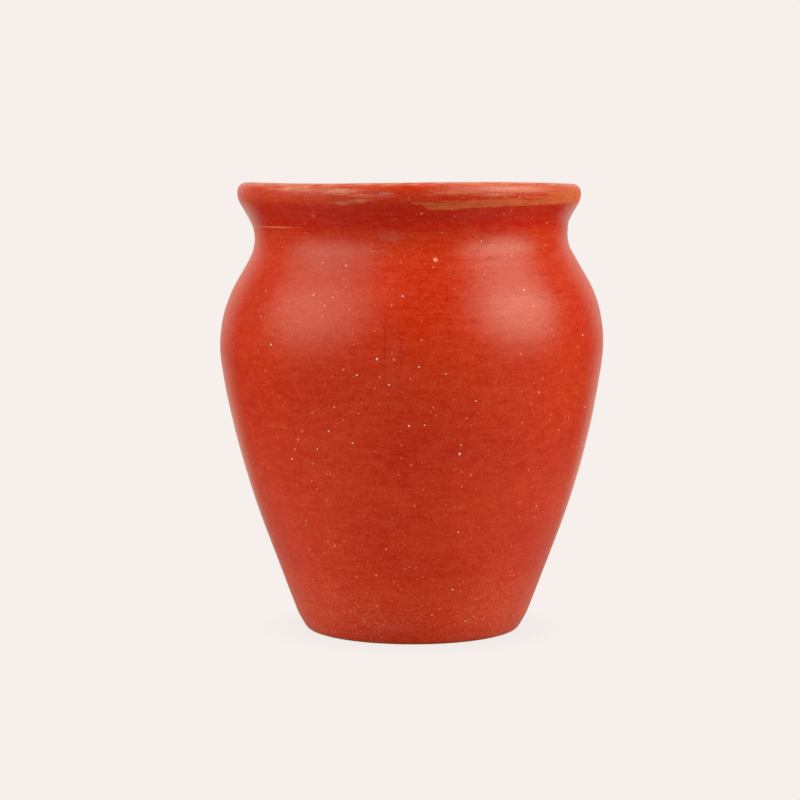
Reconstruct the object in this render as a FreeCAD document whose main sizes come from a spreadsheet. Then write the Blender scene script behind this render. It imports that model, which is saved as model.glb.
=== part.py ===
"""A small wheel-thrown clay water pot: one wall of fired clay, turned about a vertical axis.

The origin is on the axis in the plane that the pot stands on, with +Z up. Millimetres and degrees.
"""

import FreeCAD
import Part
import Sketcher
import math
import os

from FreeCAD import Vector
from types import SimpleNamespace

SIZES = {
    # The foot
    "base_hollow_depth": 0.8,  # the clay draws up a little in the middle of the base as it dries
    "standing_ring_width": 6.0,  # the flat ring that the pot stands on
    "foot_edge_curve": 1.4,
    "foot_bevel_curve": 14.0,  # the bevel trimmed above the foot before the pot is cut off
    "foot_bevel_height": 6.0,
    "foot_bevel_diameter": 65.9,  # across the top of the bevel
    # The wall, from the bevel up to the lip
    "lower_wall_length": 22.5,  # the straight stretch above the bevel
    "flank_curve": 231.0,
    "belly_diameter": 107.2,
    "belly_height": 80.3,
    "shoulder_length": 8.2,  # the straight stretch between the belly's curve and the neck's
    "neck_inset": 9.9,  # how far the neck draws in from the belly, on each side
    "neck_rise": 30.2,  # from the belly's widest level to the neck's narrowest
    # The lip
    "lip_flare": 4.2,  # how far the rim stands out from the neck, on each side
    "lip_rise": 14.5,  # from the neck's narrowest level to the rim
    "lip_underside_length": 3.8,  # the straight stretch between the neck's curve and the lip's
    "lip_curve": 6.5,  # the rolled underside of the lip
    "lip_edge_curve": 2.6,
    "lip_thickness": 6.8,  # across the lip, from its outermost to the turn of its inner edge
    "mouth_edge_curve": 2.2,
    # The inside
    "wall_thickness": 4.5,  # neck, shoulder and belly
    "foot_wall_thickness": 6.6,  # the wall is left thicker where it meets the floor
    "floor_corner_curve": 13.0,
    "floor_thickness": 6.0,
    # The grooves that the potter's fingers leave inside as the wall is drawn up
    "finger_groove_pitch": 9.0,
    "finger_groove_depth": 0.35,
    "finger_groove_curve": 11.0,
    "finger_groove_floor_gap": 15.0,  # from the floor up to the lowest groove
    "finger_groove_neck_gap": 26.0,  # smooth wall below the neck's narrowest level, at least
}

# Indexes in a sketch: the points of a line or an arc, then the axes and the edges borrowed from
# another sketch
START, END, CENTRE = range(1, 4)
RADIUS_AXIS, POT_AXIS, FIRST_LINKED_EDGE, SECOND_LINKED_EDGE = range(-1, -5, -1)
ORIGIN = (RADIUS_AXIS, START)

UP = math.pi / 2
TURN_BACK = math.pi  # from the normal of a hollow stretch to its direction seen from its centre
GROOVE_LEAD = 0.1  # how far in front of the wall each groove's outline closes


def make_sheet(doc):
    """The spreadsheet that holds every driving size, one to a row."""
    sheet = doc.addObject("Spreadsheet::Sheet", "Sizes")
    for row, (name, value) in enumerate(SIZES.items(), start=1):
        sheet.set(f"A{row}", name)
        sheet.set(f"B{row}", str(value))
        sheet.setAlias(f"B{row}", name)
    doc.recompute()
    return sheet


# Sketch helpers


def new_sketch(body, name):
    """A sketch on the upright plane through the axis: its x is the radius and its y the height."""
    sketch = body.newObject("Sketcher::SketchObject", name)
    planes = [plane for plane in body.Origin.OriginFeatures if plane.Role == "XZ_Plane"]
    sketch.AttachmentSupport = (planes[0], [""])
    sketch.MapMode = "FlatFace"
    return sketch


def add_line(sketch, start, end):
    return sketch.addGeometry(Part.LineSegment(start, end))


def add_arc(sketch, centre, radius, start_angle, end_angle):
    """An arc that runs anticlockwise from the first angle to the second, in radians."""
    circle = Part.Circle(centre, Vector(0, 0, 1), radius)
    return sketch.addGeometry(Part.ArcOfCircle(circle, start_angle, end_angle))


def constrain(sketch, kind, *where):
    return sketch.addConstraint(Sketcher.Constraint(kind, *where))


def drive(sketch, name, expression, kind, *where):
    """A dimension that follows the spreadsheet. The last item of where is its present value."""
    index = constrain(sketch, kind, *where)
    sketch.renameConstraint(index, name)
    sketch.setExpression(f"Constraints.{name}", expression)


def edge_name(sketch, index):
    """The name that the sketch's outline gives to one of its elements."""
    element = sketch.Geometry[index]
    middle = element.value((element.FirstParameter + element.LastParameter) / 2)
    point = Part.Vertex(sketch.Placement.multVec(middle))
    distances = [edge.distToShape(point)[0] for edge in sketch.Shape.Edges]
    return f"Edge{distances.index(min(distances)) + 1}"


def revolve(body, kind, name, sketch):
    feature = body.newObject(kind, name)
    feature.Profile = sketch
    feature.ReferenceAxis = (sketch, ["V_Axis"])
    return feature


# The wall's section


def direction(angle):
    return Vector(math.cos(angle), math.sin(angle), 0)


def point_on(centre, radius, angle):
    return centre + direction(angle) * radius


def angle_of(vector):
    return math.atan2(vector.y, vector.x)


def straight_wall_normal(centre_low, bulge_low, centre_high, bulge_high):
    """The angle of the outward normal of the straight wall that joins two round stretches.

    A bulge is a stretch's radius, positive where the wall swells outwards round its centre and
    negative where the wall is hollow and the centre lies outside it."""
    across = centre_high - centre_low
    return angle_of(across) - math.acos((bulge_low - bulge_high) / across.Length)


def centre_towards_axis(centre_low, reach_low, centre_high, reach_high):
    """The point at the given distances from two centres, on the side of the pot's axis."""
    across = centre_low - centre_high
    gap = across.Length
    along = (reach_high**2 - reach_low**2 + gap**2) / (2 * gap)
    aside = math.sqrt(reach_high**2 - along**2)
    unit = across / gap
    return centre_high + unit * along + Vector(unit.y, -unit.x, 0) * aside


def curves_across(step, rise, straight):
    """The sum of two opposite curves that shift an upright wall sideways by step over rise.

    The straight is the length of wall between the two curves."""
    return (step**2 + rise**2 - straight**2) / (2 * step)


def place_wall(size, at):
    """Centres of the outer wall's round stretches, and the angles at which they meet."""
    belly_radius = size.belly_diameter / 2
    neck_radius = belly_radius - size.neck_inset
    neck_level = size.belly_height + size.neck_rise
    at.rim_radius = neck_radius + size.lip_flare
    at.top_level = neck_level + size.lip_rise
    at.lip_level = at.top_level - size.lip_edge_curve

    # The neck's curve and the belly's follow from how far the wall draws in and out again
    at.neck_curve = curves_across(
        size.lip_flare, at.lip_level - neck_level, size.lip_underside_length
    ) - size.lip_curve
    at.belly_curve = curves_across(
        size.neck_inset, size.neck_rise, size.shoulder_length
    ) - at.neck_curve
    at.belly = Vector(belly_radius - at.belly_curve, size.belly_height, 0)
    at.neck = Vector(neck_radius + at.neck_curve, neck_level, 0)
    at.lip = Vector(at.rim_radius - size.lip_curve, at.lip_level, 0)
    at.lip_edge = Vector(at.rim_radius - size.lip_edge_curve, at.lip_level, 0)
    at.shoulder = straight_wall_normal(at.belly, at.belly_curve, at.neck, -at.neck_curve)
    at.lip_underside = straight_wall_normal(at.neck, -at.neck_curve, at.lip, size.lip_curve)

    # The straight lower wall leans so that the flank meets it and the belly smoothly
    at.bevel_top = Vector(size.foot_bevel_diameter / 2, size.foot_bevel_height, 0)
    bevel_reach = math.hypot(size.lower_wall_length, size.flank_curve)
    at.flank = centre_towards_axis(
        at.bevel_top, bevel_reach, at.belly, size.flank_curve - at.belly_curve
    )
    spread = math.atan2(size.lower_wall_length, size.flank_curve)
    at.wall_normal = angle_of(at.bevel_top - at.flank) + spread
    at.flank_foot = point_on(at.flank, size.flank_curve, at.wall_normal)
    at.flank_to_belly = angle_of(at.belly - at.flank)


def place_foot(size, at):
    """The bevel, the small round at the foot's edge, and the hollow inside the standing ring."""
    at.bevel = point_on(at.bevel_top, -size.foot_bevel_curve, at.wall_normal)
    drop = at.bevel.y - size.foot_edge_curve
    inset = math.sqrt((size.foot_bevel_curve - size.foot_edge_curve) ** 2 - drop**2)
    at.foot_edge = Vector(at.bevel.x + inset, size.foot_edge_curve, 0)
    at.edge_to_bevel = angle_of(at.foot_edge - at.bevel)
    at.ring_outside = Vector(at.foot_edge.x, 0, 0)
    at.ring_inside = Vector(at.foot_edge.x - size.standing_ring_width, 0, 0)
    at.hollow_top = Vector(0, size.base_hollow_depth, 0)
    at.hollow_curve = (at.ring_inside.x**2 / size.base_hollow_depth + size.base_hollow_depth) / 2
    at.hollow = at.hollow_top - Vector(0, at.hollow_curve, 0)


def place_inside(size, at):
    """The same for the inner wall, which keeps its own distance from the outer one."""
    at.inner_neck_curve = at.neck_curve + size.wall_thickness
    at.inner_belly_curve = at.belly_curve - size.wall_thickness
    mouth_radius = at.rim_radius - size.lip_thickness + size.mouth_edge_curve
    at.mouth_edge = Vector(mouth_radius, at.top_level - size.mouth_edge_curve, 0)
    at.flare = straight_wall_normal(
        at.neck, -at.inner_neck_curve, at.mouth_edge, -size.mouth_edge_curve
    )
    at.inner_shoulder = straight_wall_normal(
        at.belly, at.inner_belly_curve, at.neck, -at.inner_neck_curve
    )

    # The floor's corner keeps the foot's thickness from the straight lower wall
    normal = direction(at.wall_normal)
    corner_level = size.floor_thickness + size.floor_corner_curve
    from_wall = size.foot_wall_thickness + size.floor_corner_curve
    inset = (from_wall - normal.y * (at.bevel_top.y - corner_level)) / normal.x
    at.corner = Vector(at.bevel_top.x - inset, corner_level, 0)
    at.inner_flank = centre_towards_axis(
        at.corner, size.flank_curve - size.floor_corner_curve,
        at.belly, size.flank_curve - at.inner_belly_curve
    )
    at.corner_to_flank = angle_of(at.corner - at.inner_flank)
    at.inner_flank_to_belly = angle_of(at.belly - at.inner_flank)


def draw_outside(sketch, size, at, edge):
    """The outside of the wall, from the middle of the base up to the lip."""
    hollow_rim = angle_of(at.ring_inside - at.hollow)
    edge.hollow = add_arc(sketch, at.hollow, at.hollow_curve, hollow_rim, UP)
    edge.ring = add_line(sketch, at.ring_inside, at.ring_outside)
    edge.foot_edge = add_arc(sketch, at.foot_edge, size.foot_edge_curve, -UP, at.edge_to_bevel)
    edge.bevel = add_arc(sketch, at.bevel, size.foot_bevel_curve, at.edge_to_bevel, at.wall_normal)
    edge.lower_wall = add_line(sketch, at.bevel_top, at.flank_foot)
    edge.flank = add_arc(sketch, at.flank, size.flank_curve, at.wall_normal, at.flank_to_belly)
    edge.belly = add_arc(sketch, at.belly, at.belly_curve, at.flank_to_belly, at.shoulder)
    edge.shoulder = add_line(
        sketch,
        point_on(at.belly, at.belly_curve, at.shoulder),
        point_on(at.neck, -at.neck_curve, at.shoulder)
    )
    edge.neck = add_arc(
        sketch, at.neck, at.neck_curve, TURN_BACK + at.lip_underside, TURN_BACK + at.shoulder
    )
    edge.lip_underside = add_line(
        sketch,
        point_on(at.neck, -at.neck_curve, at.lip_underside),
        point_on(at.lip, size.lip_curve, at.lip_underside)
    )
    edge.lip = add_arc(sketch, at.lip, size.lip_curve, at.lip_underside, 0)
    edge.lip_edge = add_arc(sketch, at.lip_edge, size.lip_edge_curve, 0, UP)


def draw_inside(sketch, size, at, edge):
    """The lip's land and the inside of the wall, down to the middle of the floor."""
    floor_middle = Vector(0, size.floor_thickness, 0)
    edge.land = add_line(
        sketch, Vector(at.lip_edge.x, at.top_level, 0), Vector(at.mouth_edge.x, at.top_level, 0)
    )
    edge.mouth_edge = add_arc(
        sketch, at.mouth_edge, size.mouth_edge_curve, UP, TURN_BACK + at.flare
    )
    edge.flare = add_line(
        sketch,
        point_on(at.mouth_edge, -size.mouth_edge_curve, at.flare),
        point_on(at.neck, -at.inner_neck_curve, at.flare)
    )
    edge.inner_neck = add_arc(
        sketch, at.neck, at.inner_neck_curve, TURN_BACK + at.flare, TURN_BACK + at.inner_shoulder
    )
    edge.inner_shoulder = add_line(
        sketch,
        point_on(at.neck, -at.inner_neck_curve, at.inner_shoulder),
        point_on(at.belly, at.inner_belly_curve, at.inner_shoulder)
    )
    edge.inner_belly = add_arc(
        sketch, at.belly, at.inner_belly_curve, at.inner_flank_to_belly, at.inner_shoulder
    )
    edge.inner_flank = add_arc(
        sketch, at.inner_flank, size.flank_curve, at.corner_to_flank, at.inner_flank_to_belly
    )
    edge.corner = add_arc(sketch, at.corner, size.floor_corner_curve, -UP, at.corner_to_flank)
    edge.floor = add_line(sketch, Vector(at.corner.x, size.floor_thickness, 0), floor_middle)
    edge.axis = add_line(sketch, floor_middle, at.hollow_top)


def join_section(sketch, edge):
    """Closes the section: smooth from the standing ring over the lip to the floor."""
    smooth_joints = [
        (edge.ring, END, edge.foot_edge, START),
        (edge.foot_edge, END, edge.bevel, START),
        (edge.bevel, END, edge.lower_wall, START),
        (edge.lower_wall, END, edge.flank, START),
        (edge.flank, END, edge.belly, START),
        (edge.belly, END, edge.shoulder, START),
        (edge.shoulder, END, edge.neck, END),
        (edge.neck, START, edge.lip_underside, START),
        (edge.lip_underside, END, edge.lip, START),
        (edge.lip, END, edge.lip_edge, START),
        (edge.lip_edge, END, edge.land, START),
        (edge.land, END, edge.mouth_edge, START),
        (edge.mouth_edge, END, edge.flare, START),
        (edge.flare, END, edge.inner_neck, START),
        (edge.inner_neck, END, edge.inner_shoulder, START),
        (edge.inner_shoulder, END, edge.inner_belly, END),
        (edge.inner_belly, START, edge.inner_flank, END),
        (edge.inner_flank, START, edge.corner, END),
        (edge.corner, START, edge.floor, START),
    ]
    for joint in smooth_joints:
        constrain(sketch, "Tangent", *joint)
    constrain(sketch, "Coincident", edge.floor, END, edge.axis, START)
    constrain(sketch, "Coincident", edge.axis, END, edge.hollow, END)
    constrain(sketch, "Coincident", edge.hollow, START, edge.ring, START)


def dimension_outside(sketch, size, at, edge):
    """Ties the outside of the section to the sizes."""
    constrain(sketch, "Horizontal", edge.ring)
    constrain(sketch, "PointOnObject", edge.ring, START, RADIUS_AXIS)
    constrain(sketch, "PointOnObject", edge.hollow, CENTRE, POT_AXIS)
    constrain(sketch, "Horizontal", edge.lip, CENTRE, edge.lip_edge, CENTRE)
    radii = {
        "foot_edge_curve": edge.foot_edge,
        "foot_bevel_curve": edge.bevel,
        "flank_curve": edge.flank,
        "lip_curve": edge.lip,
        "lip_edge_curve": edge.lip_edge,
    }
    for name, arc in radii.items():
        drive(sketch, name, f"Sizes.{name}", "Radius", arc, getattr(size, name))
    lengths = {
        "lower_wall_length": edge.lower_wall,
        "shoulder_length": edge.shoulder,
        "lip_underside_length": edge.lip_underside,
    }
    for name, line in lengths.items():
        drive(sketch, name, f"Sizes.{name}", "Distance", line, getattr(size, name))
    drive(sketch, "standing_ring_width", "Sizes.standing_ring_width",
          "DistanceX", edge.ring, START, edge.ring, END, size.standing_ring_width)
    drive(sketch, "base_hollow_depth", "Sizes.base_hollow_depth",
          "DistanceY", *ORIGIN, edge.hollow, END, size.base_hollow_depth)
    drive(sketch, "foot_bevel_radius", "Sizes.foot_bevel_diameter / 2",
          "DistanceX", *ORIGIN, edge.lower_wall, START, at.bevel_top.x)
    drive(sketch, "foot_bevel_height", "Sizes.foot_bevel_height",
          "DistanceY", *ORIGIN, edge.lower_wall, START, at.bevel_top.y)
    drive(sketch, "belly_height", "Sizes.belly_height",
          "DistanceY", *ORIGIN, edge.belly, CENTRE, at.belly.y)
    drive(sketch, "neck_rise", "Sizes.neck_rise",
          "DistanceY", edge.belly, CENTRE, edge.neck, CENTRE, size.neck_rise)
    drive(sketch, "lip_rise", "Sizes.lip_rise",
          "DistanceY", edge.neck, CENTRE, edge.lip_edge, END, size.lip_rise)


def mark_level(sketch, arc, radius, level):
    """A point on the arc at the level of its centre, where the wall is widest or narrowest."""
    mark = sketch.addGeometry(Part.Point(Vector(radius, level, 0)), True)
    constrain(sketch, "PointOnObject", mark, START, arc)
    constrain(sketch, "Horizontal", mark, START, arc, CENTRE)
    return mark


def dimension_widths(sketch, size, at, edge):
    """Ties the belly, the neck and the rim to their widths."""
    belly = mark_level(sketch, edge.belly, at.belly.x + at.belly_curve, at.belly.y)
    neck = mark_level(sketch, edge.neck, at.neck.x - at.neck_curve, at.neck.y)
    drive(sketch, "belly_radius", "Sizes.belly_diameter / 2",
          "DistanceX", *ORIGIN, belly, START, size.belly_diameter / 2)
    drive(sketch, "neck_inset", "Sizes.neck_inset",
          "DistanceX", neck, START, belly, START, size.neck_inset)
    drive(sketch, "lip_flare", "Sizes.lip_flare",
          "DistanceX", neck, START, edge.lip, END, size.lip_flare)


def dimension_inside(sketch, size, at, edge):
    """Ties the inside of the section to the outside and to the wall's thicknesses."""
    constrain(sketch, "Horizontal", edge.land)
    constrain(sketch, "Horizontal", edge.floor)
    constrain(sketch, "PointOnObject", edge.axis, START, POT_AXIS)
    constrain(sketch, "PointOnObject", edge.axis, END, POT_AXIS)
    constrain(sketch, "Coincident", edge.inner_neck, CENTRE, edge.neck, CENTRE)
    constrain(sketch, "Coincident", edge.inner_belly, CENTRE, edge.belly, CENTRE)
    constrain(sketch, "Equal", edge.inner_flank, edge.flank)
    constrain(sketch, "Parallel", edge.inner_shoulder, edge.shoulder)
    drive(sketch, "mouth_edge_curve", "Sizes.mouth_edge_curve",
          "Radius", edge.mouth_edge, size.mouth_edge_curve)
    drive(sketch, "lip_inset", "Sizes.lip_thickness - Sizes.mouth_edge_curve",
          "DistanceX", edge.mouth_edge, CENTRE, edge.lip, END, at.rim_radius - at.mouth_edge.x)
    drive(sketch, "wall_thickness", "Sizes.wall_thickness",
          "Distance", edge.inner_shoulder, START, edge.shoulder, size.wall_thickness)
    drive(sketch, "floor_corner_curve", "Sizes.floor_corner_curve",
          "Radius", edge.corner, size.floor_corner_curve)
    drive(sketch, "corner_from_wall", "Sizes.foot_wall_thickness + Sizes.floor_corner_curve",
          "Distance", edge.corner, CENTRE, edge.lower_wall,
          size.foot_wall_thickness + size.floor_corner_curve)
    drive(sketch, "floor_thickness", "Sizes.floor_thickness",
          "DistanceY", *ORIGIN, edge.axis, START, size.floor_thickness)
    inner_belly = constrain(sketch, "Radius", edge.inner_belly, at.inner_belly_curve)
    sketch.setDriving(inner_belly, False)
    sketch.renameConstraint(inner_belly, "inner_belly_curve")


def make_wall(body, size, at):
    """The floor, wall and lip, turned in one from their section."""
    section = new_sketch(body, "WallSection")
    edge = SimpleNamespace()
    draw_outside(section, size, at, edge)
    draw_inside(section, size, at, edge)
    join_section(section, edge)
    dimension_outside(section, size, at, edge)
    dimension_widths(section, size, at, edge)
    dimension_inside(section, size, at, edge)
    wall = revolve(body, "PartDesign::Revolution", "ThrownWall", section)
    return section, edge, wall


# The finger grooves


def add_guide(sketch, name, linked_edge, centre, radius, formula):
    """A construction circle round the centre of one of the wall's own arcs."""
    guide = sketch.addGeometry(Part.Circle(centre, Vector(0, 0, 1), radius), True)
    constrain(sketch, "Coincident", guide, CENTRE, linked_edge, CENTRE)
    drive(sketch, name, formula, "Radius", guide, radius)
    return guide


def guide_grooves(sketch, name, linked_edge, centre, curve, formula, size):
    """A stretch of the inner wall, with one guide for grooves' centres and one for their corners."""
    wall = SimpleNamespace(centre=centre)
    wall.centres_curve = curve + size.finger_groove_depth - size.finger_groove_curve
    wall.corners_curve = curve - GROOVE_LEAD
    wall.centres = add_guide(
        sketch, f"{name}_centres", linked_edge, centre, wall.centres_curve,
        f"{formula} + Sizes.finger_groove_depth - Sizes.finger_groove_curve"
    )
    wall.corners = add_guide(
        sketch, f"{name}_corners", linked_edge, centre, wall.corners_curve,
        f"{formula} - {GROOVE_LEAD}"
    )
    return wall


def groove_arc(wall, foot_height, size):
    """Centre, outward angle and half the turn of the groove whose lower edge is at the height."""
    bend, near, far = size.finger_groove_curve, wall.centres_curve, wall.corners_curve
    foot_angle = math.asin((foot_height - wall.centre.y) / far)
    outward = foot_angle + math.acos((far**2 + near**2 - bend**2) / (2 * far * near))
    half_turn = math.acos((far**2 - near**2 - bend**2) / (2 * near * bend))
    return point_on(wall.centre, near, outward), outward, half_turn


def add_groove(sketch, number, wall, foot_height, foot_formula, size):
    """The outline that cuts one groove: an arc into the wall, closed by a line in front of it."""
    bend = size.finger_groove_curve
    middle, outward, half_turn = groove_arc(wall, foot_height, size)
    foot_angle, head_angle = outward - half_turn, outward + half_turn
    groove = add_arc(sketch, middle, bend, foot_angle, head_angle)
    front = add_line(sketch, point_on(middle, bend, head_angle), point_on(middle, bend, foot_angle))
    constrain(sketch, "Coincident", groove, END, front, START)
    constrain(sketch, "Coincident", front, END, groove, START)
    constrain(sketch, "PointOnObject", groove, CENTRE, wall.centres)
    constrain(sketch, "PointOnObject", groove, START, wall.corners)
    constrain(sketch, "PointOnObject", groove, END, wall.corners)
    drive(sketch, f"groove_{number}_curve", "Sizes.finger_groove_curve", "Radius", groove, bend)
    drive(sketch, f"groove_{number}_height", foot_formula,
          "DistanceY", *ORIGIN, groove, START, foot_height)


def make_finger_grooves(body, section, edge, size, at):
    """Shallow round grooves inside, evenly spaced in height, each cut into the wall's curve."""
    sketch = new_sketch(body, "FingerGrooves")
    sketch.addExternal(section.Name, edge_name(section, edge.inner_flank))
    sketch.addExternal(section.Name, edge_name(section, edge.inner_belly))
    flank = guide_grooves(sketch, "flank", FIRST_LINKED_EDGE, at.inner_flank,
                          size.flank_curve, "Sizes.flank_curve", size)
    belly = guide_grooves(sketch, "belly", SECOND_LINKED_EDGE, at.belly, at.inner_belly_curve,
                          "WallSection.Constraints.inner_belly_curve / 1 mm", size)
    flank_top = point_on(at.belly, at.inner_belly_curve, at.inner_flank_to_belly).y
    lowest = size.floor_thickness + size.finger_groove_floor_gap
    highest = size.belly_height + size.neck_rise - size.finger_groove_neck_gap
    for number in range(int((highest - lowest) / size.finger_groove_pitch) + 1):
        foot_height = lowest + number * size.finger_groove_pitch
        foot_formula = ("Sizes.floor_thickness + Sizes.finger_groove_floor_gap"
                        f" + {number} * Sizes.finger_groove_pitch")
        middle = groove_arc(flank, foot_height, size)[0]
        wall = flank if middle.y < flank_top else belly
        add_groove(sketch, number, wall, foot_height, foot_formula, size)
    return revolve(body, "PartDesign::Groove", "FingerGrooveCut", sketch)


def check_document(doc):
    """Stops if any object failed, so that nothing is written from a broken model."""
    for thing in doc.Objects:
        failed = {"Invalid", "Error"} & set(thing.State)
        if failed:
            raise RuntimeError(f"{thing.Name} is {failed}")
        if thing.TypeId == "Sketcher::SketchObject" and not thing.FullyConstrained:
            raise RuntimeError(f"{thing.Name} isn't fully constrained")


def main():
    doc = FreeCAD.newDocument("ClayWaterPot")
    size = make_sheet(doc)
    at = SimpleNamespace()
    place_wall(size, at)
    place_foot(size, at)
    place_inside(size, at)

    pot = doc.addObject("PartDesign::Body", "Pot")
    pot.Label = "pot"
    section, edge, wall = make_wall(pot, size, at)
    doc.recompute()
    smooth_volume = wall.Shape.Volume
    pot.Tip = make_finger_grooves(pot, section, edge, size, at)
    doc.recompute()
    check_document(doc)

    shape = pot.Shape
    if shape.isNull() or not shape.isValid() or len(shape.Solids) != 1:
        raise RuntimeError("the pot isn't one valid solid")
    if shape.Volume >= smooth_volume:
        raise RuntimeError("the finger grooves cut nothing")
    os.makedirs("parts", exist_ok=True)
    shape.exportStep(os.path.join("parts", f"{pot.Label}.step"))
    box = shape.optimalBoundingBox()
    print(f"pot: {box.XLength:.2f} x {box.YLength:.2f} x {box.ZLength:.2f} mm")
    print(f"clay: {shape.Volume:.0f} cubic mm, and {smooth_volume - shape.Volume:.0f} cut in grooves")


main()
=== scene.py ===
# The clay water pot as it is seen: its thrown wall in full detail, its burnished slip, a pale
# table and soft light. Lengths are in metres, and values with mm in their name in millimetres.
# Angles are in degrees from the front, and positive to the right.

import math

import bmesh
import bpy
import numpy as np
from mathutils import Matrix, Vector


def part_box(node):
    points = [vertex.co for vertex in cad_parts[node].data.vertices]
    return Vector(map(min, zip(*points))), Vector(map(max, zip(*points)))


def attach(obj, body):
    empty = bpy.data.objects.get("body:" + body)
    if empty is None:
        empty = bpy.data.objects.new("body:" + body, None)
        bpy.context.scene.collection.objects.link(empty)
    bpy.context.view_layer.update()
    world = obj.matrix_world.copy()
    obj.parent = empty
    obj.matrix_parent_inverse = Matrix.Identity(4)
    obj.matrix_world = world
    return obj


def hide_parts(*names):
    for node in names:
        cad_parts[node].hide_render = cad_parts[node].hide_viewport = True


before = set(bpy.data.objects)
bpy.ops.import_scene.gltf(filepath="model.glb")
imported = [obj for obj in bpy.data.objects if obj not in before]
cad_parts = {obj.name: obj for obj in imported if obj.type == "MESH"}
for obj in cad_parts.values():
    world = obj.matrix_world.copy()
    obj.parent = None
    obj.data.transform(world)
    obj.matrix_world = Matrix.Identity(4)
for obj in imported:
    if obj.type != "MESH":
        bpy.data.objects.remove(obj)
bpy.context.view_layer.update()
mm = 0.001
print("stage 1: the frame is loaded")


# Helpers

def hexToLinear(code):
    srgb = [int(code[start:start + 2], 16) / 255 for start in (1, 3, 5)]
    linear = [v / 12.92 if v <= 0.04045 else ((v + 0.055) / 1.055) ** 2.4 for v in srgb]
    return (*linear, 1.0)


def addNode(tree, kind, inputs=(), **settings):
    # inputs is a list in the sockets' order, or a dictionary by socket name or number.
    # A node among them stands for its first output in use.
    node = tree.nodes.new(kind)
    for name, value in settings.items():
        setattr(node, name, value)
    for key, value in (inputs.items() if isinstance(inputs, dict) else enumerate(inputs)):
        if isinstance(key, str):
            socket = next(each for each in node.inputs if each.name == key and each.enabled)
        else:
            socket = node.inputs[key]
        if isinstance(value, bpy.types.Node):
            value = next(each for each in value.outputs if each.enabled)
        if isinstance(value, bpy.types.NodeSocket):
            tree.links.new(value, socket)
        elif value is not None:
            socket.default_value = value
    return node


def setCurve(curveNode, points):
    # The points of a Float Curve node, from left to right
    curve = curveNode.mapping.curves[0]
    while len(curve.points) < len(points):
        curve.points.new(0.5, 0.5)
    for point, place in zip(curve.points, points):
        point.location = place
    curveNode.mapping.update()


# The section of the wall, read from the frame

sectionSettings = {
    "mergeDistance": 1e-6,
    "baseRowMm": 1.4,  # how far apart the rows of faces are under the base
    "outsideRowMm": 0.45,
    "insideRowMm": 1.6,
}
# Height, and how far the thrown wall stands out from the solid there (mm): the trimmed foot is
# fuller, and the shoulder is slimmer where it runs into the neck
thrownOffset = [(0, 0.3), (0.2, 0.6), (0.5, 0.68), (0.85, 0.64), (1.55, 0.42), (2.3, 0.22),
                (3, 0.1), (4, 0.03), (5.5, 0), (97, 0), (103, -0.18), (108, -0.06), (112, 0)]


def readSection(node):
    # A cut through the axis gives the outline, from the middle of the base round to the floor
    near = sectionSettings["mergeDistance"]
    cut = bmesh.new()
    cut.from_mesh(node.data)
    bmesh.ops.remove_doubles(cut, verts=cut.verts, dist=near)
    bmesh.ops.bisect_plane(
        cut, geom=[*cut.verts, *cut.edges, *cut.faces], dist=near, plane_co=(0, 0, 0),
        plane_no=(0, 1, 0), clear_inner=True, clear_outer=True)
    half = {vert for vert in cut.verts if vert.co.x > -near}
    beside = {vert: [edge.other_vert(vert) for edge in vert.link_edges] for vert in half}
    beside = {vert: [other for other in others if other in half]
              for vert, others in beside.items()}
    ends = [vert for vert, others in beside.items() if len(others) == 1]
    chain = [min(ends, key=lambda vert: vert.co.z)]
    walked = set(chain)
    while True:
        onward = [other for other in beside[chain[-1]] if other not in walked]
        if not onward:
            break
        chain.append(onward[0])
        walked.add(onward[0])
    points = [(vert.co.x, vert.co.z) for vert in chain]
    cut.free()
    points[0] = (0.0, points[0][1])
    points.append((0.0, points[-1][1]))
    return np.array(points)


def placeRows(points):
    # Rows along an Akima curve through the outline, which keeps straights straight and arcs round
    chord = np.diff(points, axis=0)
    length = np.linalg.norm(chord, axis=1)
    unit = chord / length[:, None]
    unit = np.vstack([unit[:1], unit[:1], unit, unit[-1:], unit[-1:]])
    turn = np.linalg.norm(np.diff(unit, axis=0), axis=1)[:, None]
    turn += 1e-9  # on a straight both turns are nought, and the next line would lose its way
    tangent = turn[2:] * unit[1:-2] + turn[:-2] * unit[2:-1]
    tangent /= np.linalg.norm(tangent, axis=1)[:, None]
    along = np.concatenate([[0], np.cumsum(length)])

    near = sectionSettings["mergeDistance"]
    foot = along[np.flatnonzero(points[:, 1] < near)[-1]]
    rim = along[points[:, 1] > points[:, 1].max() - near].mean()
    stretches = [(0, foot, "baseRowMm"), (foot, rim, "outsideRowMm"),
                 (rim, along[-1], "insideRowMm")]
    places = [0.0]
    for start, end, spacing in stretches:
        count = round((end - start) / (sectionSettings[spacing] * mm))
        places.extend(np.linspace(start, end, count + 1)[1:])
    places = np.array(places)

    left = np.clip(np.searchsorted(along, places, side="right") - 1, 0, len(length) - 1)
    span = length[left][:, None]
    t = ((places - along[left]) / length[left])[:, None]
    rows = (points[left] * (2 * t**3 - 3 * t**2 + 1) + points[left + 1] * (3 * t**2 - 2 * t**3)
            + span * (tangent[left] * (t**3 - 2 * t**2 + t) + tangent[left + 1] * (t**3 - t**2)))
    rows[:, 0] = np.maximum(rows[:, 0], 0)
    rows[:, 1] = np.maximum(rows[:, 1], 0)
    return rows, places - rim


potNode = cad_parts["pot"]
wallRows, alongWall = placeRows(readSection(potNode))


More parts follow.
